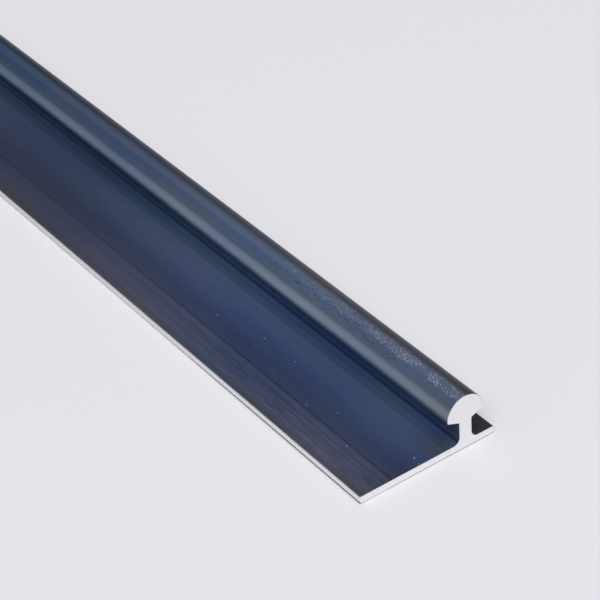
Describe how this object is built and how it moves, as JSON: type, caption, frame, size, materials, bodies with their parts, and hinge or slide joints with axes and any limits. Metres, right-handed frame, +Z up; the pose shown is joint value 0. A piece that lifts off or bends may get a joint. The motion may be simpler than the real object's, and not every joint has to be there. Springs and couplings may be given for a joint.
{
  "type": "aluminium extrusion profile",
  "caption": "Aluminium rail profile: flat flange with a round running head on a thin offset stem, sawn square at both ends.",
  "frame": {"origin": "on the underside, below the middle of the stem and half way along the bar", "axes": "+Y along the bar, +Z up from the underside to the running head, -X towards the wide side of the flange"},
  "size_m": [0.03, 1, 0.0117],
  "materials": {
    "extruded_aluminium": "glossy dark blue-grey extruded faces with fine die lines, bare bright metal on the sawn ends"
  },
  "bodies": {
    "root": {"rail_profile": "extruded_aluminium"}
  },
  "joints": []
}
